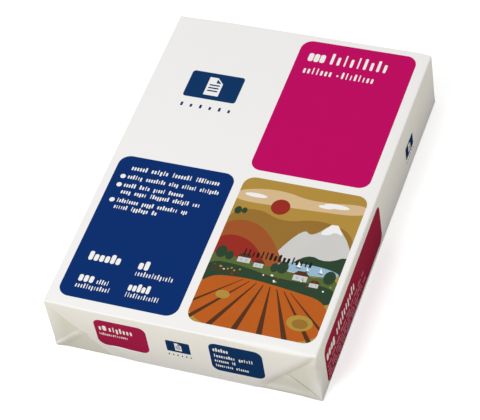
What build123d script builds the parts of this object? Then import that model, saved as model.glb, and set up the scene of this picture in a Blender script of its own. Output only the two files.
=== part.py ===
from build123d import *
import os

# A sealed ream of A4 copier paper in its folded paper wrapper: one closed pack.
# +X runs across the pack, +Y along it, +Z up. The origin is on the resting plane,
# under the middle of the pack. The wrapper's lap lies underneath.

# ---- The stack of sheets (millimetres) ----
sheet_width = 210.0       # short side of a sheet
sheet_length = 297.0      # long side of a sheet
sheet_count = 500
sheet_caliper = 0.106     # one sheet of 80 g/m2 office paper

# ---- The wrapper (millimetres) ----
wrap_thickness = 0.12     # coated wrapping paper
fold_radius = 1.2         # outside of a fold, over the stack's edges
fold_air = 0.25           # air kept under each layer that is folded across an end
lap_width = 30.0          # how far the wrapper's two long edges overlap, under the pack
flap_stop = 0.8           # the upper flaps end this far above the resting plane

# ---- Worked out from the sizes above ----
stack_height = sheet_count * sheet_caliper
pack_width = sheet_width + 2 * wrap_thickness
half_width = pack_width / 2
underside = wrap_thickness                        # beside the lap, which rests at 0
topside = underside + stack_height + 2 * wrap_thickness
wrapped_height = topside - underside
flap_depth = topside - flap_stop                  # how far the wrapper runs past the stack

# Each end is closed by the side walls, tucked in flat, and then by two flaps. A flap's
# corners hold the triangle that is folded under them, so it is two papers thick.
tuck_step = wrap_thickness + fold_air
flap_step = 2 * wrap_thickness + fold_air
tuck_face = sheet_length / 2 + tuck_step
lower_face = tuck_face + flap_step
upper_face = lower_face + flap_step


def block(face, end_folds):
    """The wrapped stack out to one layer's end face, with its long folds and some end folds."""
    middle = underside + wrapped_height / 2
    box = Pos(0, 0, middle) * Box(pack_width, 2 * face, wrapped_height)
    folds = box.edges().filter_by(Axis.Y)
    if end_folds == "side":
        folds += box.edges().filter_by(Axis.Z)
    else:
        lower_edges, upper_edges = box.edges().filter_by(Axis.X).group_by(Axis.Z)
        folds += lower_edges if end_folds == "lower" else upper_edges
    return fillet(folds, fold_radius)


def flap_outline(fold_level, free_level):
    """A flap seen from the end. It leaves the pack's corners at 45 degrees."""
    free_half = half_width - flap_depth
    corners = [
        (-half_width, fold_level),
        (half_width, fold_level),
        (free_half, free_level),
        (-free_half, free_level),
    ]
    return make_face(Polyline(*corners, close=True))


def through_pack(outline):
    """An outline seen from the end (X, Z), as a solid that runs through the whole pack."""
    return extrude(Plane.XZ * outline, amount=upper_face, both=True)


def lap():
    """The overlap of the wrapper's long edges, one paper proud, folded up with the lower flaps."""
    height = 2 * fold_radius
    face = lower_face + wrap_thickness
    strip = Pos(0, 0, height / 2) * Box(lap_width, 2 * face, height)
    ends = strip.edges().filter_by(Axis.X).group_by(Axis.Z)[0]
    return fillet(ends, fold_radius + wrap_thickness)


end_view = Pos(0, underside + wrapped_height / 2) * Rectangle(pack_width, wrapped_height)
upper_outline = flap_outline(topside, topside - flap_depth)
lower_outline = flap_outline(underside, underside + flap_depth) - upper_outline
tuck_outline = end_view - lower_outline - upper_outline

upper_flaps = block(upper_face, "upper") & through_pack(upper_outline)
lower_flaps = block(lower_face, "lower") & through_pack(lower_outline)
tucked_sides = block(tuck_face, "side") & through_pack(tuck_outline)
wrapped_ream = upper_flaps + lower_flaps + tucked_sides + lap()

os.makedirs("parts", exist_ok=True)
export_step(wrapped_ream, "parts/wrapped_ream.step")

size = wrapped_ream.bounding_box().size
print(f"wrapped_ream: {size.X:.2f} x {size.Y:.2f} x {size.Z:.2f} mm,", end=" ")
print(f"{len(wrapped_ream.solids())} solid, {wrapped_ream.volume:.1f} mm3")
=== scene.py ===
# %% [markdown]
# # A wrapped ream of paper
# The real object is a block of five hundred copier sheets in a coated paper wrapper. The wrapper
# goes round the block, laps under the bottom, and is folded in and glued at both ends. The frame
# below is the measured solid. Everything made here is laid on that frame, in metres.

# %% Load the fixed frame
import math
import random

import bmesh
import bpy
import numpy as np
from mathutils import Matrix, Vector, noise
from mathutils.geometry import delaunay_2d_cdt


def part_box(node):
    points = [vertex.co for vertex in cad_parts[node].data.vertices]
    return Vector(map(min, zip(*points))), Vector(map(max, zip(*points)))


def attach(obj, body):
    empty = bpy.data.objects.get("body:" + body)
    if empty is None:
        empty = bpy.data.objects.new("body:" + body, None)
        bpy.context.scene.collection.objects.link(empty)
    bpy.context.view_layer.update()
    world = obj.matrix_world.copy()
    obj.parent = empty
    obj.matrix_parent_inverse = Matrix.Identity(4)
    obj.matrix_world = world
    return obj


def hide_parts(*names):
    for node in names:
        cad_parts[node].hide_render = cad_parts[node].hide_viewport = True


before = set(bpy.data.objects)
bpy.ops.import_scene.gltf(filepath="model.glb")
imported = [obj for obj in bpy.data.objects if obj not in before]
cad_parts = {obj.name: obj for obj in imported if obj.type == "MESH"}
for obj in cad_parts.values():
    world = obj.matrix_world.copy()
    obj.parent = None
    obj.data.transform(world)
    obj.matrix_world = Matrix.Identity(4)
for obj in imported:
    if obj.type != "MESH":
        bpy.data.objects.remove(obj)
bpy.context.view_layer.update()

print("the frame holds", sorted(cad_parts))

# %% [markdown]
# ## Sizes
# Small paper work is easier to think about in millimetres, so the helpers below work in
# millimetres and only the last step turns them into metres. The two end flaps lie on top of each
# other and on the tucked sides, so the middle of each end is two steps higher than its corners.

# %% Sizes read from the frame
MM = 1000.0
low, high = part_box("wrapped_ream")
HALF_WIDTH = high.x * MM
HEIGHT = high.z * MM
PROUD_LEVEL = high.y * MM
FLAP_STEP = 0.49
END_LEVEL = PROUD_LEVEL - 2 * FLAP_STEP
WRAP = 0.12
UNDERSIDE = WRAP
print("wrapper", round(2 * HALF_WIDTH, 2), "x", round(2 * PROUD_LEVEL, 2), "x", round(HEIGHT, 2), "mm")
print("its foot is at", round(low.z * MM, 2), "mm")

# %% [markdown]
# ## Where the points lie
# A paper fold is a tight bend between two flat faces. Evenly spread points would need millions of
# faces to show it, so each face gets its points from lists of marks that crowd at both ends. A
# tucked end is closed between two levels, and the flaps grow from the rows of marks there.

# %% Marks along each direction
BEND_MARKS = (0.25, 0.5, 0.8, 1.15, 1.55, 2.0, 2.6, 3.4, 4.5, 6.0)


def marks(start, stop, step):
    count = round((stop - start - 2 * BEND_MARKS[-1]) / step)
    middle = np.linspace(start + BEND_MARKS[-1], stop - BEND_MARKS[-1], count + 1)
    ends = [start] + [start + m for m in BEND_MARKS[:-1]]
    ends += [stop] + [stop - m for m in BEND_MARKS[:-1]]
    return np.array(sorted(ends + list(middle)))


across = marks(-HALF_WIDTH, HALF_WIDTH, 3.0)
along = marks(-END_LEVEL, END_LEVEL, 3.4)
upward = marks(UNDERSIDE, HEIGHT, 2.0)
TUCK_TOP = HEIGHT - 2.0
TUCK_FOOT = UNDERSIDE + 2.0
TINY = 1e-6
print(len(across), "marks across,", len(along), "along,", len(upward), "up")

# %% [markdown]
# ## The shape of the folded ends
# The upper flap narrows from the full width at the top fold to its free edge near the bottom. The
# lower flap comes up under it. Its slants start at the bottom corners, and only two small
# triangles of it show. The two sides of a hand-closed end are never quite alike, so each slant
# has its own angle here.

# %% Outlines of the flaps
FREE_LEVEL = 0.8
UPPER_TIP = 58.1
LOWER_FREE_LEVEL = HEIGHT - 9.0
LOWER_SLANT = {-1: 1.0, 1: 1.24}


def upper_half(z):
    return HALF_WIDTH - (TUCK_TOP - z) * (HALF_WIDTH - UPPER_TIP) / (TUCK_TOP - FREE_LEVEL)


def lower_half(z, side):
    return HALF_WIDTH - (z - TUCK_FOOT) * LOWER_SLANT[side]


def meeting_level(side):
    fall = (HALF_WIDTH - UPPER_TIP) / (TUCK_TOP - FREE_LEVEL)
    return (TUCK_TOP * fall + TUCK_FOOT * LOWER_SLANT[side]) / (fall + LOWER_SLANT[side])


print("the slants meet at", {s: round(meeting_level(s), 1) for s in (-1, 1)}, "mm up")

# %% [markdown]
# ## How a sheet is settled on the block
# Each sheet is first drawn on a sharp-edged block. `settle` then rounds every edge in one step: it
# finds the nearest point of a smaller block inside, and puts the paper one bend radius away from
# it. Sheets that share an edge get the same rounding there, so the wrapper closes without a gap.
# The bend is tight along most edges and softer at the one corner that has been pressed.

# %% How round each edge is
BEND_RADIUS = 1.3
CRISP_FOOT = 0.62
CRISP_BELOW = 9.0
CRISP_FADE = 7.0
SOFT_FOLD = 3.0
SOFT_FOLD_AT = 72.0
SOFT_FOLD_RUN = 24.0
SOFT_FOLD_REACH = 14.0
SOFT_EDGE = 7.5
SOFT_EDGE_REACH = 15.0
SOFT_EDGE_FOOT = 3.0
SOFT_EDGE_TOP = 2.0
SOFT_EDGE_CLIMB = 22.0
SOFT_EDGE_FALL = 20.0


def smooth(t):
    t = np.clip(t, 0.0, 1.0)
    return t * t * (3 - 2 * t)


def bend_radius(p):
    x, y, z = p.T
    from_end = (y + END_LEVEL) ** 2
    to_fold = from_end + (z - HEIGHT) ** 2
    fold = SOFT_FOLD * np.exp(-to_fold / SOFT_FOLD_REACH**2 - ((x - SOFT_FOLD_AT) / SOFT_FOLD_RUN) ** 2)
    to_edge = from_end + (x - HALF_WIDTH) ** 2
    middle = smooth((z - SOFT_EDGE_FOOT) / SOFT_EDGE_CLIMB)
    middle = middle * smooth((HEIGHT - SOFT_EDGE_TOP - z) / SOFT_EDGE_FALL)
    crisp = BEND_RADIUS * (1 - CRISP_FOOT * smooth((CRISP_BELOW - z) / CRISP_FADE))
    return crisp + fold + SOFT_EDGE * middle * np.exp(-to_edge / SOFT_EDGE_REACH**2)


front_edges = np.array([[-HALF_WIDTH, -END_LEVEL, HEIGHT / 2], [HALF_WIDTH, -END_LEVEL, HEIGHT / 2]])
print("bend radius half-way up the front edges", bend_radius(front_edges).round(1), "mm")

# %% [markdown]
# Paper round a block is never quite tight. Two smooth noises, one broad and one fine, pull the
# wrapper in by up to a fifth of a millimetre, so light moves over it as it does over real paper.

# %% Slack paper, and the settling itself
WAVE_RUN = 62.0
WAVE_UP = 48.0
WAVE_DEPTH = 0.16
RIPPLE_RUN = 17.0
RIPPLE_UP = 15.0
RIPPLE_DEPTH = 0.035
CORNER_POINT = 0.95
CORNER_REACH = 13.0
CORNER_FADE = 16.0


def slackness(p):
    wave = [noise.noise(Vector((x / WAVE_RUN, y / WAVE_RUN, z / WAVE_UP + 4.0))) for x, y, z in p]
    ripple = [noise.noise(Vector((x / RIPPLE_RUN + 9.0, y / RIPPLE_RUN, z / RIPPLE_UP))) for x, y, z in p]
    return WAVE_DEPTH * (0.5 + 0.5 * np.array(wave)) + RIPPLE_DEPTH * (0.5 + 0.5 * np.array(ripple))


def settle(p, standing=0.0):
    """Rounds the sharp block at the points p, and lifts each end's points off it by standing."""
    radius = bend_radius(p)[:, None]
    inner_low = np.array([-HALF_WIDTH, -END_LEVEL, UNDERSIDE]) + radius
    inner_high = np.array([HALF_WIDTH, END_LEVEL, HEIGHT]) - radius
    core = np.clip(p, inner_low, inner_high)
    outward = p - core
    outward /= np.linalg.norm(outward, axis=1)[:, None]
    settled = core + outward * (radius - slackness(p)[:, None])
    settled[:, 1] += np.sign(p[:, 1]) * standing
    from_corner = (p[:, 0] - HALF_WIDTH) ** 2 + (p[:, 1] + END_LEVEL) ** 2
    pulled = np.exp(-from_corner / CORNER_REACH**2) * smooth((CORNER_FADE - p[:, 2]) / CORNER_FADE)
    settled[:, 1] -= CORNER_POINT * pulled
    settled[:, 1] = np.clip(settled[:, 1], -PROUD_LEVEL, PROUD_LEVEL)
    return settled


print("slack half-way up the front edges", slackness(front_edges).round(2), "mm")

# %% [markdown]
# ## How far each layer stands out
# At the corners of an end all layers meet in one fold, so nothing stands out there. Towards the
# middle the upper flap rises by two steps. Its right slant curls down sharply, which draws a soft
# dark band. Its left slant lies flat and hardly shows.

# %% Heights of the layers on an end
RISE_WIDTH = {-1: 46.0, 1: 10.0}
EDGE_SHARE = {-1: 0.14, 1: 0.58}
EDGE_WIDTH = {-1: 16.0, 1: 3.2}
SINK = {-1: 0.05, 1: 1.25}
SINK_WIDTH_UNDER = 2.6
SINK_WIDTH_BESIDE = 26.0
RIDGE_RISE = {-1: 1.0, 1: 0.75}
RIDGE_START = {-1: 1.0, 1: 0.0}
RIDGE_WIDTH = {-1: 4.5, 1: 5.0}
FADE_AT_TOP = 4.0
FADE_AT_FOOT = 6.0
FADE_AT_SIDE = 6.0
RIDGE_FADE_AT_SIDE = 2.5
UPPER_LEAN = math.hypot(1.0, (HALF_WIDTH - UPPER_TIP) / (TUCK_TOP - FREE_LEVEL))


def by_side(values, x):
    return np.where(x < 0, values[-1], values[1])


def sink(x, z):
    """How far the block gives way along the slants of the upper flap, as a length below the end."""
    inside = (upper_half(z) - abs(x)) / UPPER_LEAN
    width = np.where(inside > 0, SINK_WIDTH_UNDER, SINK_WIDTH_BESIDE)
    depth = by_side(SINK, x) * np.exp(-((inside / width) ** 2))
    ends = smooth((TUCK_TOP - z) / FADE_AT_TOP) * smooth((z - TUCK_FOOT) / FADE_AT_FOOT)
    return -depth * ends * smooth((HALF_WIDTH - abs(x)) / FADE_AT_SIDE)


def upper_rise(x, z):
    """How far the upper flap stands out, as a length above the end."""
    rise = 2 * FLAP_STEP * smooth((HALF_WIDTH - abs(x)) / by_side(RISE_WIDTH, x))
    inside = (upper_half(z) - abs(x)) / UPPER_LEAN
    share = by_side(EDGE_SHARE, x)
    return rise * (share + (1 - share) * smooth(inside / by_side(EDGE_WIDTH, x)))


def lower_rise(x, z):
    """How far the lower flap stands out: half as far, with a low ridge along its slants."""
    half = np.where(x < 0, lower_half(z, -1), lower_half(z, 1))
    lean = by_side({s: math.hypot(1.0, LOWER_SLANT[s]) for s in (-1, 1)}, x)
    inside = (half - abs(x)) / lean
    meeting = by_side({s: meeting_level(s) for s in (-1, 1)}, x)
    start = by_side(RIDGE_START, x)
    climb = np.where(start > 0, smooth(inside / np.maximum(start, 0.1)), 1.0)
    fall = np.exp(-((np.maximum(inside - start, 0.0) / by_side(RIDGE_WIDTH, x)) ** 2))
    ridge = by_side(RIDGE_RISE, x) * climb * fall
    ridge *= smooth((meeting - 1.0 - z) / FADE_AT_FOOT)
    ridge *= smooth((HALF_WIDTH - abs(x)) / RIDGE_FADE_AT_SIDE)
    return 0.5 * upper_rise(x, z) + ridge


print("the upper flap's middle stands", upper_rise(np.array([0.0]), np.array([25.0])).round(2), "mm out")

# %% [markdown]
# ## Cutting a sheet
# A printed sheet is one mesh, and its print is made of whole faces, so every edge of a colour is
# crisp at any distance. A constrained Delaunay triangulation does this: it takes the sheet's
# outline, the outlines of all printed shapes and a field of extra points, and joins them into
# triangles that respect every line. It also says which shapes hold each triangle, and the last
# printed shape wins, as in screen printing.

# %% Outline tools
def inside_of(points, ring):
    ring = np.asarray(ring)
    found = np.zeros(len(points), bool)
    for a, b in zip(ring, np.roll(ring, -1, axis=0)):
        crosses = (a[1] > points[:, 1]) != (b[1] > points[:, 1])
        if a[1] != b[1]:
            reach = a[0] + (points[:, 1] - a[1]) * (b[0] - a[0]) / (b[1] - a[1])
            found ^= crosses & (points[:, 0] < reach)
    return found


def away_from(points, ring, gap):
    ring = np.asarray(ring)
    keep = np.ones(len(points), bool)
    for a, b in zip(ring, np.roll(ring, -1, axis=0)):
        run = b - a
        t = np.clip(((points - a) @ run) / max(run @ run, 1e-12), 0, 1)
        keep &= np.hypot(*(points - a - t[:, None] * run).T) > gap
    return keep


square = [(0.0, 0.0), (2.0, 0.0), (2.0, 2.0), (0.0, 2.0)]
samples = np.array([[1.0, 1.0], [3.0, 1.0], [1.0, 0.1]])
print("inside a square:", inside_of(samples, square))
print("clear of its edges:", away_from(samples, square, 0.5))

# %% The cutter
EDGE_GAP = 0.16
SAME_POINT = 1e-5


def anticlockwise(ring):
    sweep = sum(a[0] * b[1] - b[0] * a[1] for a, b in zip(ring, ring[1:] + ring[:1]))
    return ring if sweep > 0 else ring[::-1]


def cut(outline, field, prints=()):
    """Returns the flat points of a sheet, its triangles, and the ink of each triangle."""
    field = field[inside_of(field, outline) & away_from(field, outline, EDGE_GAP)]
    rings = [outline] + [shape["ring"] for shape in prints]
    points = [Vector(p) for ring in rings for p in ring]
    faces, at = [], 0
    for ring in rings:
        faces.append(list(range(at, at + len(ring))))
        at += len(ring)
    points += [Vector(p) for p in field]
    made = delaunay_2d_cdt(points, [], faces, 1, SAME_POINT)
    flat = np.array([tuple(v) for v in made[0]])
    triangles, inks = [], []
    for triangle, held_by in zip(made[2], made[5]):
        if 0 not in held_by:
            continue
        ink = 0
        for k in sorted(held_by):
            if k and (prints[k - 1]["within"] is None or prints[k - 1]["within"] + 1 in held_by):
                ink = prints[k - 1]["ink"]
        triangles.append(triangle)
        inks.append(ink)
    return flat, np.array(triangles), inks


def field_of(first, second):
    grid = np.meshgrid(first, second)
    return np.stack([grid[0].ravel(), grid[1].ravel()], axis=1)


trial = cut(square, field_of(np.array([0.5, 1.0, 1.5]), np.array([0.5, 1.5])))
print("a square with six points inside is cut into", len(trial[1]), "triangles")

# %% [markdown]
# ## Ink shapes
# The print is a set of rounded fields and small marks. A line of wording would only say whose
# paper this is, so each word is drawn as a row of plain blocks of the same size and weight. From
# a step away it reads as wording, and close up it says nothing.

# %% Shapes a printer would use
def rounded(x0, y0, x1, y1, radius, steps=9):
    radius = min(radius, 0.499 * (x1 - x0), 0.499 * (y1 - y0))
    ring = []
    centres = ((x1 - radius, y1 - radius), (x0 + radius, y1 - radius))
    centres += ((x0 + radius, y0 + radius), (x1 - radius, y0 + radius))
    for quarter, (cx, cy) in enumerate(centres):
        for k in range(steps):
            turn = math.pi / 2 * (quarter + k / (steps - 1))
            ring.append((cx + radius * math.cos(turn), cy + radius * math.sin(turn)))
    return ring


def oval(cx, cy, rx, ry, steps=28):
    turns = [2 * math.pi * k / steps for k in range(steps)]
    return [(cx + rx * math.cos(t), cy + ry * math.sin(t)) for t in turns]


def softened(ring, rounds=3):
    for _ in range(rounds):
        following = ring[1:] + ring[:1]
        softer = []
        for a, b in zip(ring, following):
            softer.append((0.75 * a[0] + 0.25 * b[0], 0.75 * a[1] + 0.25 * b[1]))
            softer.append((0.25 * a[0] + 0.75 * b[0], 0.25 * a[1] + 0.75 * b[1]))
        ring = softer
    return ring


INK_NAMES = ["stock", "magenta", "navy", "crimson", "deep_navy", "wine"]
INK_NAMES += ["mustard", "ochre", "terracotta", "cloud_grey", "pale_blue", "leaf_green"]
INK_NAMES += ["forest_green", "clay_orange", "umber", "brick_red", "sand", "rose"]
# The first of these two inks is the bare stock with painted shade, for the recessed tucks and lower
# flaps.
INK_NAMES += ["tucked_painted_shade", "soot"]
INK = {name: number for number, name in enumerate(INK_NAMES)}


def stamp(prints, ring, ink, within=None):
    """Adds a shape to a list of prints. A shape with within shows only inside that earlier shape."""
    prints.append({"ring": anticlockwise(ring), "ink": INK[ink], "within": within})
    return len(prints) - 1


print(len(INK), "inks, the first of them is bare", INK_NAMES[0])

# %% Rows of blocks that stand for wording
MARK_PITCH = 0.66
TALL_PART = 0.36
DEEP_PART = 0.30
BLOCK_CORNER = 0.44


def word(prints, x0, x1, y, size, ink, weight, rng):
    """A row of plain blocks. A few are taller, a few reach lower, and a few are narrow."""
    count = max(2, round((x1 - x0) / (size * MARK_PITCH)))
    pitch = (x1 - x0) / count
    for k in range(count):
        kind = rng.random()
        tall = TALL_PART * size if kind < 0.26 else 0.0
        deep = DEEP_PART * size if 0.26 <= kind < 0.36 else 0.0
        wide = pitch * weight * (0.55 if kind < 0.14 or 0.36 <= kind < 0.46 else 1.0)
        left = x0 + k * pitch + 0.5 * (pitch * weight - wide)
        stamp(prints, rounded(left, y - deep, left + wide, y + size + tall, BLOCK_CORNER * wide, 4), ink)


def words(prints, rows, ink, weight):
    for x0, x1, y, size, seed in rows:
        word(prints, x0, x1, y, size, ink, weight, random.Random(seed))


def wording(prints, x0, x1, y, size, ink, weight, seed, gap=0.9):
    """A whole line of wording: words of uneven length with gaps between them."""
    rng = random.Random(seed)
    left = x0
    while left < x1 - 0.5 * size:
        length = size * rng.uniform(2.4, 6.0)
        right = left + length
        if right > x1 - 2.0 * size:
            right = x1
        word(prints, left, right, y, size, ink, weight, rng)
        left = right + gap * size


line = []
wording(line, 0.0, 60.0, 0.0, 3.0, "navy", 0.6, 1)
print("a line of 60 mm takes", len(line), "blocks")

# %% [markdown]
# ## The print on the top and on the front flap
# The wrapper is printed flat before it is folded. The same sheet therefore carries the large
# fields of the top and the small ones of the front end, and the front ones sit beyond the fold.
# `on_front` gives the place on the flat sheet of a height on the folded end.

# %% Large fields of the top
def on_front(z):
    return -END_LEVEL - (HEIGHT - z)


top_print = []
MAGENTA_FIELD = (1.9, 5.9, 96.0, 143.1)
MAGENTA_CORNER = 8.8
stamp(top_print, rounded(*MAGENTA_FIELD, MAGENTA_CORNER), "magenta")
words(top_print, [(11.0, 25.4, 122.4, 8.6, 5)], "stock", 0.86)
words(top_print, [(29.4, 78.0, 122.4, 8.6, 8)], "stock", 0.42)
words(top_print, [(11.4, 36.0, 109.4, 5.0, 2)], "stock", 0.5)
stamp(top_print, oval(39.4, 111.6, 0.9, 0.9, 12), "stock")
words(top_print, [(42.6, 70.0, 109.4, 5.0, 4)], "stock", 0.5)
print(len(top_print), "shapes in the magenta field")

# %% The navy field
NAVY_FIELD = (-97.9, -140.1, -4.3, -2.5)
FIELD_CORNER = 9.0
TEXT_LEFT = -85.6
BULLET_AT = -89.6
BULLET = 2.1
stamp(top_print, rounded(*NAVY_FIELD, FIELD_CORNER), "navy")
TEXT_LINES = [(-15.8, -14.0, 3.3, 11), (-24.4, -11.6, 3.0, 12), (-32.8, -37.0, 3.0, 13)]
TEXT_LINES += [(-39.4, -21.4, 3.0, 14), (-48.0, -28.6, 3.0, 15), (-54.2, -50.6, 3.0, 16)]
for level, right, size, seed in TEXT_LINES:
    wording(top_print, TEXT_LEFT, right, level, size, "stock", 0.62, seed)
for level in (-23.0, -31.4, -46.6):
    stamp(top_print, oval(BULLET_AT, level, BULLET, BULLET, 20), "stock")
BOLD_ITEMS = [(-86.6, -60.6, -105.0, 6.2, 21), (-47.0, -38.0, -105.0, 6.2, 22)]
BOLD_ITEMS += [(-86.6, -74.0, -125.2, 6.2, 23), (-47.4, -30.0, -125.2, 5.4, 24)]
words(top_print, BOLD_ITEMS, "stock", 0.78)
SMALL_ITEMS = [(-47.0, -16.6, -111.0, 3.4, 25), (-72.0, -62.0, -125.0, 3.2, 26)]
SMALL_ITEMS += [(-86.6, -59.0, -131.0, 3.2, 27), (-47.4, -20.6, -131.0, 3.2, 28)]
words(top_print, SMALL_ITEMS, "stock", 0.46)
print(len(top_print), "shapes so far on the top")

# %% [markdown]
# The wrapper needs a badge where a maker would put one. This one is a plain field with a blank
# sheet whose corner is turned over, and a row of six blocks under it. It belongs to nobody.

# %% The badge
def badge(prints, x0, y0, x1, y1, ink):
    wide, tall = x1 - x0, y1 - y0
    stamp(prints, rounded(x0, y0, x1, y1, 0.09 * tall, 6), ink)
    left, right = x0 + 0.36 * wide, x0 + 0.64 * wide
    foot, top = y0 + 0.16 * tall, y0 + 0.84 * tall
    turn = 0.2 * tall
    sheet = [(left, foot), (right, foot), (right, top - turn), (right - turn, top), (left, top)]
    stamp(prints, sheet, "stock")
    corner = [(right - turn, top - turn), (right - 0.05 * tall, top - turn)]
    corner += [(right - turn, top - 0.05 * tall)]
    stamp(prints, corner, ink)
    inset, thick = 0.04 * wide, 0.05 * tall
    for share in (0.22, 0.38, 0.54):
        level = foot + share * (top - foot)
        stamp(prints, rounded(left + inset, level, right - inset, level + thick, 0.02 * tall, 3), ink)


def six_blocks(prints, x0, x1, y0, y1, ink):
    """Six small blocks in a row, where every second one is a little shorter."""
    tall = y1 - y0
    wide = 0.52 * tall
    for k in range(6):
        left = x0 + k * (x1 - x0 - wide) / 5
        short = 0.18 * tall if k % 2 else 0.0
        stamp(prints, rounded(left, y0, left + wide, y1 - short, 0.2 * wide, 3), ink)


badge(top_print, -73.7, 66.1, -30.1, 93.7, "deep_navy")
six_blocks(top_print, -72.0, -31.0, 55.8, 59.6, "deep_navy")
print(len(top_print), "shapes with the badge")

# %% [markdown]
# The picture on a paper pack is there for its colours. This is a made-up landscape in warm and
# green inks: a mustard sky with a red sun, far ridges, a grey mountain and a lake, white houses
# in a meadow, and a ploughed field in front. Each part is a few corner points that `softened`
# turns into a flowing outline by cutting its corners again and again.

# %% The picture field
PICTURE = (2.6, -139.7, 99.9, -1.3)
OUT_LEFT = -0.03
OUT_RIGHT = 1.03
OUT_BELOW = -0.03
picture = stamp(top_print, rounded(*PICTURE, FIELD_CORNER), "mustard")


def scenery(points, ink, soft=3):
    """Prints a shape of the landscape. Its points are shares of the picture's width and height."""
    x0, y0, x1, y1 = PICTURE
    ring = [(x0 + u * (x1 - x0), y0 + v * (y1 - y0)) for u, v in points]
    stamp(top_print, softened(ring, soft) if soft else ring, ink, picture)


def spot(u, v, ru, rv, ink, steps=20):
    x0, y0, x1, y1 = PICTURE
    ring = oval(x0 + u * (x1 - x0), y0 + v * (y1 - y0), ru * (x1 - x0), rv * (y1 - y0), steps)
    stamp(top_print, ring, ink, picture)


def ribbon(upper_edge, foot, ink, soft=3):
    """A band of land under an upper edge that runs from left to right, down to a level foot."""
    scenery(upper_edge + [(upper_edge[-1][0], foot), (upper_edge[0][0], foot)], ink, soft)


print("the picture is", round(PICTURE[2] - PICTURE[0], 1), "by", round(PICTURE[3] - PICTURE[1], 1), "mm")

# %% Sky, ridges and mountain
HAZE = [(OUT_LEFT, 0.9), (0.3, 0.95), (0.6, 0.9), (OUT_RIGHT, 0.95), (OUT_RIGHT, 0.86)]
HAZE += [(0.5, 0.84), (OUT_LEFT, 0.82)]
FAR_RIDGE = [(OUT_LEFT, 0.74), (0.2, 0.8), (0.42, 0.73), (0.7, 0.8), (OUT_RIGHT, 0.73)]
MOUNTAIN = [(0.44, 0.5), (0.6, 0.72), (0.68, 0.67), (0.82, 0.8), (OUT_RIGHT, 0.62)]
SNOW = [(0.72, 0.7), (0.82, 0.8), (0.92, 0.71), (0.84, 0.73), (0.8, 0.7)]
WOODED_HILL = [(0.55, 0.42), (0.7, 0.56), (0.86, 0.52), (OUT_RIGHT, 0.6), (OUT_RIGHT, 0.42)]
NEAR_RIDGE = [(OUT_LEFT, 0.66), (0.12, 0.71), (0.3, 0.68), (0.46, 0.56), (0.6, 0.4), (OUT_LEFT, 0.4)]
RED_RIDGE = [(OUT_LEFT, 0.56), (0.1, 0.6), (0.26, 0.57), (0.4, 0.46), (0.44, 0.38), (OUT_LEFT, 0.38)]
scenery(HAZE, "sand")
spot(0.36, 0.83, 0.075, 0.053, "brick_red", 32)
ribbon(FAR_RIDGE, 0.4, "ochre")
ribbon(MOUNTAIN, 0.42, "cloud_grey", 2)
scenery(SNOW, "stock", 1)
scenery(WOODED_HILL, "forest_green", 2)
scenery(NEAR_RIDGE, "terracotta")
scenery(RED_RIDGE, "brick_red")
print(len(top_print), "shapes with the hills")

# %% Lake, meadow, trees and houses
MEADOW = [(OUT_LEFT, 0.47), (0.15, 0.45), (0.5, 0.43), (0.75, 0.405), (OUT_RIGHT, 0.44)]
NEAR_MEADOW = [(OUT_LEFT, 0.40), (0.2, 0.41), (0.55, 0.36), (OUT_RIGHT, 0.38)]
TREES = [(0.06, 0.47, 1.2), (0.13, 0.455, 0.9), (0.5, 0.43, 0.9), (0.56, 0.44, 1.2)]
TREES += [(0.93, 0.43, 1.3), (0.05, 0.76, 0.8), (0.1, 0.765, 0.6)]
HOUSES = [(0.2, 0.425, 0.1, 0.034), (0.335, 0.41, 0.075, 0.028)]
HOUSES += [(0.66, 0.375, 0.11, 0.036), (0.8, 0.35, 0.07, 0.026)]
EAVES = 0.012


def block_of(u, v, wide, tall):
    return [(u, v), (u + wide, v), (u + wide, v + tall), (u, v + tall)]


def house(u, v, wide, tall):
    scenery(block_of(u, v, wide, tall), "cloud_grey", 0)
    roof = [(u - EAVES, v + tall), (u + wide + EAVES, v + tall)]
    roof += [(u + 0.78 * wide, v + 1.8 * tall), (u + 0.22 * wide, v + 1.8 * tall)]
    scenery(roof, "umber", 0)
    for share in (0.22, 0.62):
        window = block_of(u + share * wide, v + 0.3 * tall, 0.16 * wide, 0.4 * tall)
        scenery(window, "pale_blue", 0)


spot(0.75, 0.455, 0.24, 0.034, "pale_blue", 36)
ribbon(MEADOW, 0.22, "leaf_green")
ribbon(NEAR_MEADOW, 0.22, "forest_green")
for u, v, size in TREES:
    spot(u, v, 0.036 * size, 0.034 * size, "forest_green", 18)
for place in HOUSES:
    house(*place)
print(len(top_print), "shapes with the village")

# %% The ploughed field
FIELD_EDGE = [(OUT_LEFT, 0.3), (0.3, 0.335), (0.65, 0.31), (OUT_RIGHT, 0.27)]
FURROW_TIP = 0.008
FURROW_FOOT = 0.05
ribbon(FIELD_EDGE, OUT_BELOW, "clay_orange")
for k in range(8):
    foot = -0.28 + 0.21 * k
    head = 0.30 + 0.055 * k
    top = 0.318 - 0.004 * k
    reach = min(1.0, (1.0 - head) / max(foot - head, 0.01))
    foot = head + (foot - head) * reach
    low_end = top - (top - OUT_BELOW) * reach
    wide = FURROW_TIP + (FURROW_FOOT - FURROW_TIP) * reach
    scenery([(foot, low_end), (foot + wide, low_end), (head + FURROW_TIP, top), (head, top)], "umber", 0)
print(len(top_print), "shapes with the furrows")

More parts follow.
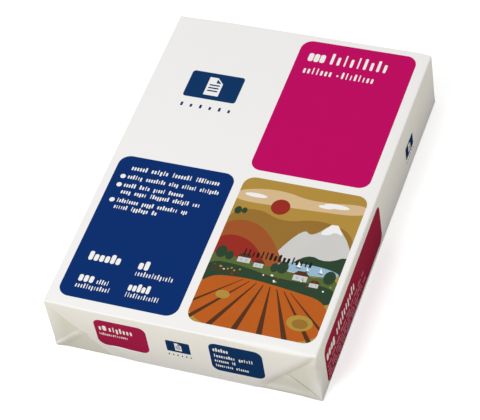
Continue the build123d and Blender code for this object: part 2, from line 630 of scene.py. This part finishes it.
# %% Small things in the landscape
SKY_CLOUDS = [(0.78, 0.9, 0.1, 0.016), (0.7, 0.885, 0.06, 0.012), (0.14, 0.88, 0.09, 0.014)]
BOATS = [(0.66, 0.462, 1.0), (0.84, 0.45, 0.8), (0.74, 0.448, 0.6)]
POPPY_INKS = ("brick_red", "mustard", "stock")
FENCE_FOOT = 0.335
FENCE_TALL = 0.027
for u, v, ru, rv in SKY_CLOUDS:
    spot(u, v, ru, rv, "stock", 24)
for u, v, size in BOATS:
    scenery([(u, v), (u + 0.035 * size, v), (u, v + 0.04 * size)], "stock", 0)
    hull = [(u - 0.012 * size, v - 0.008), (u + 0.04 * size, v - 0.008)]
    hull += [(u + 0.03 * size, v - 0.002), (u, v - 0.002)]
    scenery(hull, "umber", 0)
poppies = random.Random(77)
for k in range(26):
    u = poppies.uniform(0.02, 0.98)
    v = poppies.uniform(0.335, 0.385)
    spot(u, v, 0.008, 0.006, POPPY_INKS[k % 3], 8)
for k in range(5):
    scenery(block_of(0.04 + 0.05 * k, FENCE_FOOT, 0.008, FENCE_TALL), "umber", 0)
scenery(block_of(0.03, 0.352, 0.23, 0.005), "umber", 0)
spot(0.84, 0.115, 0.1, 0.05, "mustard", 30)
spot(0.845, 0.11, 0.062, 0.03, "ochre", 24)
spot(0.2, 0.2, 0.055, 0.027, "mustard", 24)
words(top_print, [(24.6, 78.4, -74.6, 5.0, 31)], "soot", 0.6)
print(len(top_print), "shapes on the top with the picture")

# %% Small fields of the front end
FRONT_CORNER = 6.0
FRONT_TOP = on_front(44.6)
stamp(top_print, rounded(-67.1, on_front(14.0), -26.2, FRONT_TOP, FRONT_CORNER), "wine")
words(top_print, [(-64.2, -57.2, on_front(32.4), 4.4, 41)], "stock", 0.86)
words(top_print, [(-55.6, -36.3, on_front(32.4), 4.4, 42)], "stock", 0.54)
words(top_print, [(-64.2, -41.3, on_front(26.6), 2.3, 43)], "stock", 0.58)
badge(top_print, -11.5, on_front(24.0), 7.0, on_front(36.9), "deep_navy")
six_blocks(top_print, -11.0, 7.0, on_front(19.3), on_front(21.2), "deep_navy")
stamp(top_print, rounded(22.3, on_front(12.1), 63.1, FRONT_TOP, FRONT_CORNER), "deep_navy")
FRONT_LINES = [(37.5, 35.2, 3.2, 51), (55.6, 28.3, 2.8, 52)]
FRONT_LINES += [(41.5, 22.6, 2.4, 53), (51.0, 16.8, 2.4, 54)]
for right, level, size, seed in FRONT_LINES:
    wording(top_print, 25.3, right, on_front(level), size, "stock", 0.68, seed)
print(len(top_print), "shapes on the whole top strip")

# %% [markdown]
# ## Laying the sheets together
# Every sheet adds its points, its triangles, the ink of each triangle and its place on a flat
# map. The map keeps the printed sheets large and lets the plain ones be small. A place on it is
# the left and lower edge of a sheet, in steps of a 1024th of the map, and its millimetres per
# step. Points that fall on the same spot are joined at the end, which closes the wrapper.

# %% A collector for the sheets
laid = {"points": [], "triangles": [], "inks": [], "map": []}
MAP_STEP = 1.0 / 1024.0
TOP_PLACE = (4, 4, 0.404)
BOTTOM_PLACE = (800, 560, 0.97)
RIGHT_PLACE = (540, 4, 0.40)
LEFT_PLACE = (684, 60, 0.75)
spare = iter([(800, 20 + 66 * k, 0.97) for k in range(6)])
lips = iter([(760 + 9 * k, 10, 1.0) for k in range(4)])
LIP_ON_MAP = 3.2


def lay(solid, triangles, inks, flat, place, turned=False):
    """Adds a sheet. A turned sheet shows its other face, so its triangles run the other way."""
    triangles = np.asarray(triangles)
    if turned:
        triangles = triangles[:, ::-1]
    left, foot, scale = place
    spots = (np.array([left, foot]) + (flat - flat.min(axis=0)) / scale) * MAP_STEP
    at = sum(len(p) for p in laid["points"])
    laid["points"].append(solid)
    laid["triangles"].append(triangles + at)
    laid["inks"] += list(inks)
    laid["map"].append(spots[triangles])


def lay_lip(outer, inner, turned):
    """Joins the free edge of an outer face to that of the face behind it."""
    count = len(outer)
    run = np.concatenate([[0.0], np.cumsum(np.linalg.norm(np.diff(outer, axis=0), axis=1))])
    flat = np.stack([np.repeat([LIP_ON_MAP, 0.0], count), np.concatenate([run, run])], 1)
    triangles = []
    for k in range(count - 1):
        triangles.append((k, k + 1, count + k + 1))
        triangles.append((k, count + k + 1, count + k))
    inks = [INK["stock"]] * len(triangles)
    lay(np.concatenate([outer, inner]), triangles, inks, flat, next(lips), turned)


print("a step on the map is", round(MAP_STEP, 6), "of its width")

# %% [markdown]
# ## The top strip
# One sheet runs from the free edge of the front flap, over the top, to the free edge of the back
# flap. Its width on the flat sheet is the pack's width, and both flaps narrow along their slants.

# %% The outline of the top strip
FREE_GAP = 0.6
TIP_GAP = 1.0
above = upward[upward >= TUCK_TOP - TINY]
slant_up = upward[(upward < TUCK_TOP - TINY) & (upward > FREE_LEVEL + FREE_GAP)]
free_across = across[abs(across) < UPPER_TIP - TIP_GAP]


def upper_rim(end):
    """The free rim of an upper flap, from the right side of the pack to its left, on the flat sheet."""
    def place(x, z):
        return (x, end * (END_LEVEL + HEIGHT - z))

    rim = [place(upper_half(z), z) for z in slant_up[::-1]]
    rim += [place(x, FREE_LEVEL) for x in [UPPER_TIP, *free_across[::-1], -UPPER_TIP]]
    rim += [place(-upper_half(z), z) for z in slant_up]
    return rim


side_run = [-(END_LEVEL + HEIGHT - z) for z in above] + list(along[1:-1])
side_run += [END_LEVEL + HEIGHT - z for z in above[::-1]]
top_outline = [(HALF_WIDTH, t) for t in side_run]
top_outline += upper_rim(1)
top_outline += [(-HALF_WIDTH, t) for t in side_run[::-1]]
top_outline += upper_rim(-1)[::-1]
end_run = [END_LEVEL + HEIGHT - z for z in upward[:-1]]
strip_marks = np.array(sorted([-t for t in end_run] + list(along) + end_run))
print("the top strip is", round(2 * (END_LEVEL + HEIGHT - FREE_LEVEL)), "mm long with its flaps")

# %% Cut and settle the top strip
FLAP_LEAD = 16.0
ROOT_FADE = 4.0


def fold_top(flat, share=1.0, root=None):
    """Places the flat top strip round the block. share thins the rise for the inside of a flap."""
    x, t = flat[:, 0], flat[:, 1]
    beyond = np.maximum(abs(t) - END_LEVEL, 0.0)
    y = np.clip(t, -END_LEVEL, END_LEVEL)
    z = HEIGHT - beyond
    rise = upper_rise(x, z) * share * smooth((abs(y) - END_LEVEL + FLAP_LEAD) / FLAP_LEAD)
    if root is not None:
        rise = rise * smooth((root - z) / ROOT_FADE)
    return settle(np.stack([x, y, z], 1), sink(x, z) + rise)


top_flat, top_triangles, top_inks = cut(top_outline, field_of(across, strip_marks), top_print)
lay(fold_top(top_flat), top_triangles, top_inks, top_flat, TOP_PLACE)
print("top strip:", len(top_triangles), "triangles")

# %% [markdown]
# ## The inside of the upper flaps
# Paper has two faces. The inner face follows the outer one a little closer to the block and meets
# the tucked end at the fold, so the flap is a real thin layer with a dark gap under its edge.

# %% Inner faces and edges of the upper flaps
INNER_SHARE = 0.8
ROOT_GAP = 0.1


def upper_inside(end):
    rim = upper_rim(end)
    root = END_LEVEL + HEIGHT - TUCK_TOP
    ring = rim + [(x, end * root) for x in across]
    rows = np.array([end * t for t in end_run if t > root + ROOT_GAP])
    flat, triangles, inks = cut(anticlockwise(ring), field_of(across, rows))
    lay(fold_top(flat, INNER_SHARE, TUCK_TOP), triangles, inks, flat, next(spare), turned=True)
    edge = np.array([(HALF_WIDTH, end * root)] + rim + [(-HALF_WIDTH, end * root)])
    lay_lip(fold_top(edge), fold_top(edge, INNER_SHARE, TUCK_TOP), turned=end > 0)


for end in (-1, 1):
    upper_inside(end)
print("upper flaps have", len(laid["points"]) - 1, "more sheets")

# %% [markdown]
# ## The bottom strip with the lower flaps
# The bottom is made in the same way, upside down. The wrapper's two edges overlap along its
# middle: the outer one ends in a paper-thin step, and the other fades into the flat.

# %% The outline of the bottom strip
below = upward[upward <= TUCK_FOOT + TINY]
slant_low = upward[(upward > TUCK_FOOT + TINY) & (upward < LOWER_FREE_LEVEL - FREE_GAP)]
LAP_EDGE = -15.0
LAP_MARK = 0.02
lap_marks = [LAP_EDGE - WRAP, LAP_EDGE - LAP_MARK, LAP_EDGE + LAP_MARK]
bottom_across = np.array(sorted(list(across) + lap_marks))


def lower_rim(end):
    """The free rim of a lower flap, in the same order and on its own flat sheet."""
    def place(x, z):
        return (x, end * (END_LEVEL + z - UNDERSIDE))

    right_tip = lower_half(LOWER_FREE_LEVEL, 1)
    left_tip = -lower_half(LOWER_FREE_LEVEL, -1)
    between = across[(across < right_tip - TIP_GAP) & (across > left_tip + TIP_GAP)]
    rim = [place(lower_half(z, 1), z) for z in slant_low]
    rim += [place(x, LOWER_FREE_LEVEL) for x in [right_tip, *between[::-1], left_tip]]
    rim += [place(-lower_half(z, -1), z) for z in slant_low[::-1]]
    return rim


low_run = [-(END_LEVEL + z - UNDERSIDE) for z in below[::-1]] + list(along[1:-1])
low_run += [END_LEVEL + z - UNDERSIDE for z in below]
bottom_outline = [(HALF_WIDTH, t) for t in low_run]
bottom_outline += lower_rim(1)
bottom_outline += [(-HALF_WIDTH, t) for t in low_run[::-1]]
bottom_outline += lower_rim(-1)[::-1]
rise_run = [END_LEVEL + z - UNDERSIDE for z in upward[1:] if z < LOWER_FREE_LEVEL]
low_marks = np.array(sorted([-t for t in rise_run] + list(along) + rise_run))
print("the bottom strip is", round(2 * (END_LEVEL + LOWER_FREE_LEVEL - UNDERSIDE)), "mm long")

# %% Cut and settle the bottom strip
LAP_WIDTH = 30.0
LAP_RAMP = 0.1
LAP_FADE = 12.0
LAP_END_GAP = 3.0
LAP_END_FADE = 6.0
PAST_FOLD = 0.4


def fold_bottom(flat, share=1.0, root=None):
    """Places the flat bottom strip round the block, and lays one long edge over the other."""
    x, t = flat[:, 0], flat[:, 1]
    beyond = np.maximum(abs(t) - END_LEVEL, 0.0)
    y = np.clip(t, -END_LEVEL, END_LEVEL)
    z = UNDERSIDE + beyond
    rise = lower_rise(x, z) * share * smooth((abs(y) - END_LEVEL + FLAP_LEAD) / FLAP_LEAD)
    if root is not None:
        rise = rise * smooth((z - root) / ROOT_FADE)
    solid = settle(np.stack([x, y, z], 1), sink(x, z) + rise)
    step = smooth((x - LAP_EDGE + WRAP) / LAP_RAMP)
    step = step * (1 - smooth((x - LAP_EDGE - LAP_WIDTH) / LAP_FADE))
    ends = smooth((END_LEVEL - LAP_END_GAP - abs(y)) / LAP_END_FADE)
    solid[:, 2] -= WRAP * step * ends
    return solid


low_flat, low_triangles, low_inks = cut(bottom_outline, field_of(bottom_across, low_marks))
# The lower flaps' faces on the ends take the stock with painted shade, for the recess they lie in.
painted_shade_on_end = (abs(low_flat[:, 1]) > END_LEVEL + PAST_FOLD)[low_triangles].all(axis=1)
low_inks = np.where(painted_shade_on_end, INK["tucked_painted_shade"], INK["stock"])
lay(fold_bottom(low_flat), low_triangles, low_inks, low_flat, BOTTOM_PLACE, turned=True)
print("bottom strip:", len(low_triangles), "triangles")


# %% Inner faces and edges of the lower flaps
def lower_inside(end):
    rim = lower_rim(end)
    root = END_LEVEL + TUCK_FOOT - UNDERSIDE
    ring = rim + [(x, end * root) for x in across]
    rows = np.array([end * t for t in rise_run if t > root + ROOT_GAP])
    flat, triangles, inks = cut(anticlockwise(ring), field_of(across, rows))
    lay(fold_bottom(flat, INNER_SHARE, TUCK_FOOT), triangles, inks, flat, next(spare))
    edge = np.array([(HALF_WIDTH, end * root)] + rim + [(-HALF_WIDTH, end * root)])
    lay_lip(fold_bottom(edge), fold_bottom(edge, INNER_SHARE, TUCK_FOOT), turned=end < 0)


for end in (-1, 1):
    lower_inside(end)
print("sheets laid so far:", len(laid["points"]))

# %% [markdown]
# ## The tucked ends
# Behind the flaps each end is closed by the two side tucks. They show as a triangle at each
# corner. Beside the right slant the tuck is pressed in a little, which is where the shadow lies.

# %% Cut and settle the tucked ends
TUCK_ROWS = upward[(upward >= TUCK_FOOT - TINY) & (upward <= TUCK_TOP + TINY)]


def tucked_end(end):
    ring = [(x, TUCK_FOOT) for x in across]
    ring += [(HALF_WIDTH, z) for z in TUCK_ROWS[1:-1]]
    ring += [(x, TUCK_TOP) for x in across[::-1]]
    ring += [(-HALF_WIDTH, z) for z in TUCK_ROWS[1:-1][::-1]]
    flat, triangles, inks = cut(ring, field_of(across, TUCK_ROWS))
    x, z = flat.T
    solid = settle(np.stack([x, np.full(len(x), end * END_LEVEL), z], 1), sink(x, z))
    # The tucked end takes the stock with painted shade, for the recess it lies in.
    inks = [INK["tucked_painted_shade"]] * len(triangles)
    lay(solid, triangles, inks, flat, next(spare), turned=end > 0)


for end in (-1, 1):
    tucked_end(end)
print("each tucked end has", len(laid["triangles"][-1]), "triangles")

# %% [markdown]
# ## The side walls
# The long sides are plain sheet faces between the top and bottom folds. The right one carries a
# long crimson field that leans very slightly, as print does when a wrapper goes on by machine.

# %% The print of the right side wall
CRIMSON_FIELD = (-135.3, 1.5, 1.3, 42.3)
CRIMSON_CORNER = 6.5
LEAN = 2.8 / 136.6
SIDE_TEXT_FROM = -132.0
SIDE_LINES = [(17.2, 2.4, -44.0, 71), (12.2, 2.2, -52.0, 72)]
SIDE_LINES += [(7.8, 2.1, -40.8, 73), (3.9, 2.1, -60.0, 74)]
side_print = []
stamp(side_print, rounded(*CRIMSON_FIELD, CRIMSON_CORNER), "crimson")
words(side_print, [(SIDE_TEXT_FROM, -112.5, 24.8, 7.0, 61)], "stock", 0.8)
words(side_print, [(-108.5, -63.3, 24.8, 7.0, 62)], "stock", 0.5)
for level, size, right, seed in SIDE_LINES:
    wording(side_print, SIDE_TEXT_FROM, right, level, size, "rose", 0.5, seed)
for shape in side_print:
    shape["ring"] = [(y, z + LEAN * (y - CRIMSON_FIELD[0])) for y, z in shape["ring"]]
badge(side_print, 69.2, 17.3, 88.3, 29.8, "deep_navy")
six_blocks(side_print, 69.8, 87.6, 13.0, 14.9, "deep_navy")
print("side print has", len(side_print), "shapes")


# %% Cut and settle the side walls
def side_wall(side, prints, place):
    ring = [(y, UNDERSIDE) for y in along]
    ring += [(END_LEVEL, z) for z in upward[1:-1]]
    ring += [(y, HEIGHT) for y in along[::-1]]
    ring += [(-END_LEVEL, z) for z in upward[1:-1][::-1]]
    flat, triangles, inks = cut(ring, field_of(along, upward), prints)
    y, z = flat.T
    solid = settle(np.stack([np.full(len(y), side * HALF_WIDTH), y, z], 1))
    upright_on_map = flat[:, ::-1]
    lay(solid, triangles, inks, upright_on_map, place, turned=side < 0)


side_wall(1, side_print, RIGHT_PLACE)
side_wall(-1, [], LEFT_PLACE)
print("sheets laid:", len(laid["points"]))

# %% [markdown]
# ## One closed wrapper
# The sheets share the points along their common edges, so joining equal points closes the mesh.
# The joining distance is very small, because at the corner folds the layers nearly touch and must
# not be joined. Smooth shading with sharp edges at the steep steps keeps every free paper edge
# crisp while the bends stay round.

# %% Join everything into one piece
SAME_SPOT = 0.00005
SHARP_STEP = math.radians(42)
points = np.concatenate(laid["points"])
triangles = np.concatenate(laid["triangles"])
spots = np.concatenate(laid["map"])
inks = np.array(laid["inks"])
mesh = bpy.data.meshes.new("wrapper")
mesh.from_pydata((points / MM).tolist(), [], triangles.tolist())
wrapper = bpy.data.objects.new("wrapper", mesh)
bpy.context.scene.collection.objects.link(wrapper)
mesh.polygons.foreach_set("material_index", inks.astype(np.int32))
flat_map = mesh.uv_layers.new(name="OFBake")
flat_map.data.foreach_set("uv", spots.reshape(-1).astype(np.float32))
shell = bmesh.new()
shell.from_mesh(mesh)
bmesh.ops.remove_doubles(shell, verts=shell.verts, dist=SAME_SPOT / MM)
shell.to_mesh(mesh)
open_edges = sum(not edge.is_manifold for edge in shell.edges)
shell.free()
mesh.polygons.foreach_set("use_smooth", np.ones(len(mesh.polygons), bool))
mesh.set_sharp_from_angle(angle=SHARP_STEP)
print("wrapper:", len(mesh.vertices), "points,", len(mesh.polygons), "faces,", open_edges, "odd edges")

# %% [markdown]
# ## The finish of printed, coated paper
# Coated wrapping paper is a satin surface. Under soft light it shows faint clouds of tone where
# the fibres lie thicker, and a very fine tooth that breaks up the gloss. Ink sits in the coating
# and is a little glossier. One recipe makes all of them: a broad cloud and a fine grain vary the
# colour, the grain also varies the roughness, and a fine bump gives the tooth.

# %% The list of finishes
FINISHES = {
    "stock": (240, 239, 237, 0.46, 0.012),
    "magenta": (190, 8, 96, 0.45, 0.03, 0.03),
    "navy": (8, 46, 108, 0.45, 0.03, 0.03),
    "crimson": (162, 41, 71, 0.55, 0.03, 0.0),
    "deep_navy": (20, 54, 100, 0.50, 0.03, 0.0),
    "wine": (166, 32, 76, 0.50, 0.03, 0.0),
    "mustard": (176, 140, 62, 0.42, 0.05),
    "ochre": (150, 112, 48, 0.42, 0.05),
    "terracotta": (158, 84, 40, 0.42, 0.05),
    "cloud_grey": (204, 203, 200, 0.42, 0.04),
    "pale_blue": (150, 184, 206, 0.42, 0.04),
    "leaf_green": (86, 104, 52, 0.42, 0.06),
    "forest_green": (44, 66, 46, 0.42, 0.06),
    "clay_orange": (184, 92, 30, 0.42, 0.06),
    "umber": (84, 50, 30, 0.42, 0.05),
    "brick_red": (150, 44, 34, 0.42, 0.05),
    "sand": (214, 184, 140, 0.42, 0.04),
    "rose": (206, 150, 160, 0.42, 0.04),
    "soot": (30, 26, 26, 0.46, 0.05),
    # Bare stock, darkened and warmed as painted shade for the recessed tucks and lower flaps.
    "tucked_painted_shade": (226, 225, 215, 0.50, 0.02),
}


def linear(value):
    value /= 255.0
    return value / 12.92 if value <= 0.04045 else ((value + 0.055) / 1.055) ** 2.4


print("the bare stock reflects", round(linear(FINISHES["stock"][1]), 2), "of the light")

# %% [markdown]
# The tucked corners and the lower flaps lie recessed behind the upper flap, and their paper gets a
# duller, warmer tone than the top as painted shade for that recess. The painted shade fades out towards
# the vertical folds, where all the layers are one. The two tones are blended by the distance from the
# middle of the pack, read from the object's own coordinates.

# %% The fade of the painted shade towards the corner folds
PAINTED_SHADE_FADE = 13.0


def worked_out(nodes, links, operation, first, second=None):
    """A Math node. second is a socket, a number or nothing."""
    node = nodes.new("ShaderNodeMath")
    node.operation = operation
    links.new(first, node.inputs[0])
    if isinstance(second, float):
        node.inputs[1].default_value = second
    elif second is not None:
        links.new(second, node.inputs[1])
    return node.outputs[0]


def fade_painted_shade_to_corners(nodes, links, place, tone, paper):
    """Lets the painted shade of the tucked stock turn into full stock towards the vertical corner folds.
    """
    axes = nodes.new("ShaderNodeSeparateXYZ")
    links.new(place.outputs["Object"], axes.inputs[0])
    near = nodes.new("ShaderNodeMapRange")
    near.interpolation_type = "SMOOTHSTEP"
    near.inputs["From Min"].default_value = (HALF_WIDTH - PAINTED_SHADE_FADE) / MM
    near.inputs["From Max"].default_value = HALF_WIDTH / MM
    links.new(worked_out(nodes, links, "ABSOLUTE", axes.outputs["X"]), near.inputs["Value"])
    blend = nodes.new("ShaderNodeMix")
    blend.data_type = "RGBA"
    links.new(near.outputs["Result"], blend.inputs["Factor"])
    links.new(tone.outputs["Result"], blend.inputs["A"])
    blend.inputs["B"].default_value = [linear(c) for c in FINISHES["stock"][:3]] + [1.0]
    links.new(blend.outputs["Result"], paper.inputs["Base Color"])


print("the duller tone fades over the last", PAINTED_SHADE_FADE, "mm")

# %% One recipe for stock and inks
CLOUD_SCALE = 55.0
GRAIN_SCALE = 1400.0
GLOSS_SPREAD = 0.06
TOOTH_STRENGTH = 0.12
TOOTH_HEIGHT = 0.0001


def finish_of_paper(name, red, green, blue, gloss=0.42, cloud=0.03, shine=0.05):
    material = bpy.data.materials.new(name)
    material.use_nodes = True
    nodes, links = material.node_tree.nodes, material.node_tree.links
    paper = nodes["Principled BSDF"]
    place = nodes.new("ShaderNodeTexCoord")
    clouds = nodes.new("ShaderNodeTexNoise")
    clouds.inputs["Scale"].default_value = CLOUD_SCALE
    clouds.inputs["Detail"].default_value = 3.0
    grain = nodes.new("ShaderNodeTexNoise")
    grain.inputs["Scale"].default_value = GRAIN_SCALE
    grain.inputs["Detail"].default_value = 2.0
    links.new(place.outputs["Object"], clouds.inputs["Vector"])
    links.new(place.outputs["Object"], grain.inputs["Vector"])
    tone = nodes.new("ShaderNodeMix")
    tone.data_type = "RGBA"
    colour = [linear(red), linear(green), linear(blue)]
    tone.inputs["A"].default_value = [c * (1 - cloud) for c in colour] + [1.0]
    tone.inputs["B"].default_value = [min(1.0, c * (1 + cloud)) for c in colour] + [1.0]
    links.new(clouds.outputs["Fac"], tone.inputs["Factor"])
    links.new(tone.outputs["Result"], paper.inputs["Base Color"])
    # The tucked stock carries a painted shade that fades out at the corner folds.
    if name == "tucked_painted_shade":
        fade_painted_shade_to_corners(nodes, links, place, tone, paper)
    rough = nodes.new("ShaderNodeMapRange")
    rough.inputs["To Min"].default_value = gloss - GLOSS_SPREAD
    rough.inputs["To Max"].default_value = gloss + GLOSS_SPREAD
    links.new(grain.outputs["Fac"], rough.inputs["Value"])
    links.new(rough.outputs["Result"], paper.inputs["Roughness"])
    tooth = nodes.new("ShaderNodeBump")
    tooth.inputs["Strength"].default_value = TOOTH_STRENGTH
    tooth.inputs["Distance"].default_value = TOOTH_HEIGHT
    links.new(grain.outputs["Fac"], tooth.inputs["Height"])
    links.new(tooth.outputs["Normal"], paper.inputs["Normal"])
    paper.inputs["Specular IOR Level"].default_value = shine
    return material


for name in INK_NAMES:
    mesh.materials.append(finish_of_paper(name, *FINISHES[name]))
print(len(mesh.materials), "finishes")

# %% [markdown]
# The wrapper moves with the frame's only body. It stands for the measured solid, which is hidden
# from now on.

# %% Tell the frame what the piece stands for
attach(wrapper, "root")
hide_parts("wrapped_ream")
print(wrapper.name, "stands for wrapped_ream")

# %% [markdown]
# ## The floor
# The pack lies on a plain pale floor. Light that bounces off the floor on to the paper comes from
# a duller, warmer surface than the one the eye sees, as it does on a studio table. Close to the pack that
# bounced tone is darkened as a painted shade, which makes the walls darker towards their foot.

# %% The floor's sheet
FLOOR_REACH = 6.0
floor_mesh = bpy.data.meshes.new("floor")
corners = [(-FLOOR_REACH, -FLOOR_REACH, 0), (FLOOR_REACH, -FLOOR_REACH, 0)]
corners += [(FLOOR_REACH, FLOOR_REACH, 0), (-FLOOR_REACH, FLOOR_REACH, 0)]
floor_mesh.from_pydata(corners, [], [(0, 1, 2, 3)])
floor = bpy.data.objects.new("floor", floor_mesh)
bpy.context.scene.collection.objects.link(floor)
print("the floor is", 2 * FLOOR_REACH, "m wide")


# %% Which rays ask for the colour
def seen_or_lit(nodes, links):
    """1 for camera, glossy and transmission rays, 0 for the light that bounces."""
    path = nodes.new("ShaderNodeLightPath")
    total = path.outputs["Is Camera Ray"]
    for kind in ("Is Glossy Ray", "Is Transmission Ray"):
        total = worked_out(nodes, links, "MAXIMUM", total, path.outputs[kind])
    return total


# %% The tone that bounced light meets, with painted shade at the pack's foot
SHADE_REACH = 0.13
# The near tone is a painted shade on the floor, seen only by bounced light.
PAINTED_SHADE_TONE = (0.20, 0.165, 0.11, 1)
FAR_TONE = (0.88, 0.82, 0.63, 1)


def bounce_tone_with_painted_shade(nodes, links):
    """A tone for bounced light, pale further off and darkened as a painted shade at the foot of the pack.
    """
    place = nodes.new("ShaderNodeTexCoord")
    axes = nodes.new("ShaderNodeSeparateXYZ")
    links.new(place.outputs["Object"], axes.inputs[0])
    beyond = []
    for axis, half in (("X", HALF_WIDTH / MM), ("Y", PROUD_LEVEL / MM)):
        size = worked_out(nodes, links, "ABSOLUTE", axes.outputs[axis])
        beyond.append(worked_out(nodes, links, "SUBTRACT", size, half))
    reach = worked_out(nodes, links, "MAXIMUM", beyond[0], beyond[1])
    fade = nodes.new("ShaderNodeMapRange")
    fade.interpolation_type = "SMOOTHSTEP"
    fade.inputs["From Max"].default_value = SHADE_REACH
    links.new(reach, fade.inputs["Value"])
    tone = nodes.new("ShaderNodeMix")
    tone.data_type = "RGBA"
    tone.inputs["A"].default_value = PAINTED_SHADE_TONE
    tone.inputs["B"].default_value = FAR_TONE
    links.new(fade.outputs["Result"], tone.inputs["Factor"])
    return tone.outputs["Result"]


print("the floor's bounced tone is full", SHADE_REACH, "m away from the pack")

# %% The floor's finish
SEEN_TONE = (0.86, 0.86, 0.86, 1)
LIFT = 0.45


def floor_finish():
    material = bpy.data.materials.new("pale_table")
    material.use_nodes = True
    nodes, links = material.node_tree.nodes, material.node_tree.links
    nodes.clear()
    out = nodes.new("ShaderNodeOutputMaterial")
    seen = nodes.new("ShaderNodeBsdfDiffuse")
    seen.inputs["Color"].default_value = SEEN_TONE
    lift = nodes.new("ShaderNodeEmission")
    lift.inputs["Strength"].default_value = LIFT
    pale = nodes.new("ShaderNodeAddShader")
    links.new(seen.outputs[0], pale.inputs[0])
    links.new(lift.outputs[0], pale.inputs[1])
    dull = nodes.new("ShaderNodeBsdfDiffuse")
    links.new(bounce_tone_with_painted_shade(nodes, links), dull.inputs["Color"])
    choose = nodes.new("ShaderNodeMixShader")
    links.new(seen_or_lit(nodes, links), choose.inputs["Fac"])
    links.new(dull.outputs[0], choose.inputs[1])
    links.new(pale.outputs[0], choose.inputs[2])
    links.new(choose.outputs[0], out.inputs["Surface"])
    return material


floor_mesh.materials.append(floor_finish())
print("floor finish:", floor_mesh.materials[0].name)

# %% [markdown]
# ## Light
# Soft light from all round gives the sides their even tone. One broad lamp in front, above and a
# little to the left makes the front end lighter than the right side.

# %% The light all round
AROUND = 0.66
world = bpy.data.worlds.new("studio")
bpy.context.scene.world = world
world.use_nodes = True
nodes, links = world.node_tree.nodes, world.node_tree.links
nodes.clear()
out = nodes.new("ShaderNodeOutputWorld")
around = nodes.new("ShaderNodeBackground")
around.inputs["Color"].default_value = (1.0, 1.0, 1.0, 1)
around.inputs["Strength"].default_value = AROUND
white = nodes.new("ShaderNodeBackground")
white.inputs["Color"].default_value = (1.0, 1.0, 1.0, 1)
white.inputs["Strength"].default_value = 1.0
choose = nodes.new("ShaderNodeMixShader")
links.new(seen_or_lit(nodes, links), choose.inputs["Fac"])
links.new(around.outputs[0], choose.inputs[1])
links.new(white.outputs[0], choose.inputs[2])
links.new(choose.outputs[0], out.inputs["Surface"])
print("light from all round:", AROUND)

# %% The key lamp
KEY_FROM = Vector((-0.55, -1.15, 1.75))
KEY_SIZE = 0.9
KEY_WATTS = 19.0
lamp = bpy.data.lights.new("key", "AREA")
lamp.shape = "DISK"
lamp.size = KEY_SIZE
lamp.energy = KEY_WATTS
key = bpy.data.objects.new("key", lamp)
bpy.context.scene.collection.objects.link(key)
key.location = KEY_FROM
key.rotation_euler = (-KEY_FROM).to_track_quat("-Z", "Y").to_euler()
print("lamp stands", round(KEY_FROM.length, 2), "m away")

# %% [markdown]
# ## Camera
# The pack is seen from its front right corner, from well above, through a long lens that keeps
# its edges nearly parallel. The camera leans a little, so the pack lies at a slant in the frame.

# %% Camera
AIM = Vector((-0.0015, -0.0142, 0.0267))
AZIMUTH = math.radians(27.07)
ELEVATION = math.radians(49.50)
ROLL = math.radians(-10.67)
DISTANCE = 1.6368
LENS = 161.78
SENSOR = 36.0
lens = bpy.data.cameras.new("camera")
lens.sensor_width = SENSOR
lens.lens = LENS
camera = bpy.data.objects.new("camera", lens)
bpy.context.scene.collection.objects.link(camera)
flat_share = math.cos(ELEVATION)
back = Vector((math.sin(AZIMUTH) * flat_share, -math.cos(AZIMUTH) * flat_share, math.sin(ELEVATION)))
level = Vector((math.cos(AZIMUTH), math.sin(AZIMUTH), 0.0))
upright = back.cross(level)
right = level * math.cos(ROLL) + upright * math.sin(ROLL)
up = upright * math.cos(ROLL) - level * math.sin(ROLL)
turn = Matrix((right, up, back)).transposed().to_4x4()
camera.matrix_world = Matrix.Translation(AIM + back * DISTANCE) @ turn
bpy.context.scene.camera = camera
bpy.context.scene.view_settings.view_transform = "Standard"
print("camera at", [round(c, 3) for c in camera.location])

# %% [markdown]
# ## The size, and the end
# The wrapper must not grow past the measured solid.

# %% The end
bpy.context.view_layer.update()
